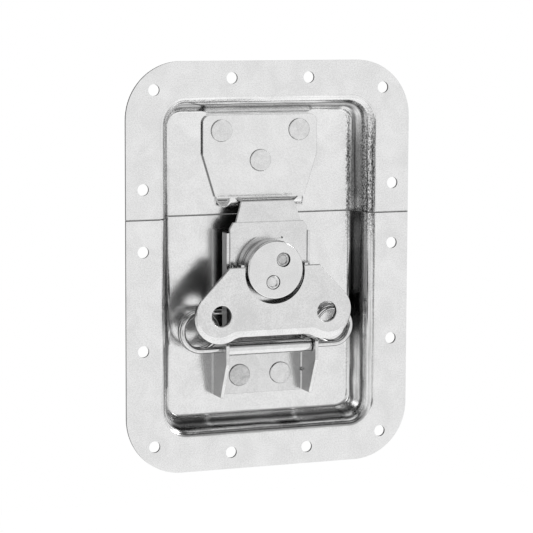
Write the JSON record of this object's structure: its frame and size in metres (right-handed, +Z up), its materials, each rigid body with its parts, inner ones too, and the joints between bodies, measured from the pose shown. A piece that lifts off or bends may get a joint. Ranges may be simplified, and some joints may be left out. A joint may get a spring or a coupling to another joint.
{
  "type": "butterfly case latch",
  "caption": "Recessed rectangular dish in two halves with a keeper plate, a sprung link, a cam-driven hook plate and a folding butterfly wing on a turret, for closing a case's lid.",
  "frame": {"origin": "middle of the flange's back face, the plane that sits on the case", "axes": "+X to the right, +Z up towards the lid half, the front looks along -Y"},
  "size_m": [0.127, 0.0222, 0.172],
  "materials": {
    "zinc_sheet": "bright zinc plate over pressed sheet, mottled and faintly brushed",
    "zinc_plate": "bright zinc plate, smooth",
    "zinc_wing": "bright zinc plate, satin",
    "zinc_turned": "bright zinc plate, turned",
    "zinc_rivet": "bright zinc plate, polished heads",
    "spring_wire": "bright plated wire"
  },
  "bodies": {
    "dish": {"dish_upper": "zinc_sheet", "dish_lower": "zinc_sheet", "keeper_plate": "zinc_plate", "keeper_rivet_left": "zinc_rivet", "keeper_rivet_right": "zinc_rivet", "keeper_rivet_lower": "zinc_rivet", "link_bracket": "zinc_plate", "bracket_rivet_left": "zinc_rivet", "bracket_rivet_right": "zinc_rivet"},
    "link": {"link_spring": "spring_wire", "link_sleeve": "zinc_turned"},
    "latch_body": {"latch_housing": "zinc_plate", "spindle_bush": "zinc_turned"},
    "hook": {"hook_plate": "zinc_plate"},
    "turret": {"turret_drum": "zinc_turned", "drum_rivet_upper": "zinc_rivet", "drum_rivet_lower": "zinc_rivet", "front_washer": "zinc_turned", "cam_disc": "zinc_turned", "rear_washer": "zinc_turned", "spindle": "zinc_rivet", "wave_washer": "zinc_turned", "spindle_clip": "zinc_rivet", "wing_pin": "zinc_rivet"},
    "wing": {"wing": "zinc_wing"}
  },
  "joints": [
    {"name": "link_swing", "type": "hinge", "parent": "dish", "child": "link", "pos_m": [0, 0.00095, -0.0351], "axis": [1, 0, 0], "range_deg": [0, 90]},
    {"name": "body_tilt", "type": "hinge", "parent": "link", "child": "latch_body", "pos_m": [0, 0.0046, -0.0195], "axis": [1, 0, 0], "range_deg": [-36, 0]},
    {"name": "turret_turn", "type": "hinge", "parent": "latch_body", "child": "turret", "pos_m": [0, 0, -0.0011], "axis": [0, 1, 0], "range_deg": [0, 180]},
    {"name": "hook_slide", "type": "slide", "parent": "latch_body", "child": "hook", "axis": [0, 0, 1], "range_m": [0, 0.005]},
    {"name": "wing_fold", "type": "hinge", "parent": "turret", "child": "wing", "pos_m": [0, -0.0034, -0.0011], "axis": [-1, 0, 0], "range_deg": [0, 95]}
  ],
  "couplings": [
    {"joint": "body_tilt", "follows": "link_swing", "ratio": -0.4},
    {"joint": "hook_slide", "follows": "turret_turn", "m_per_rad": 0.0015915}
  ]
}
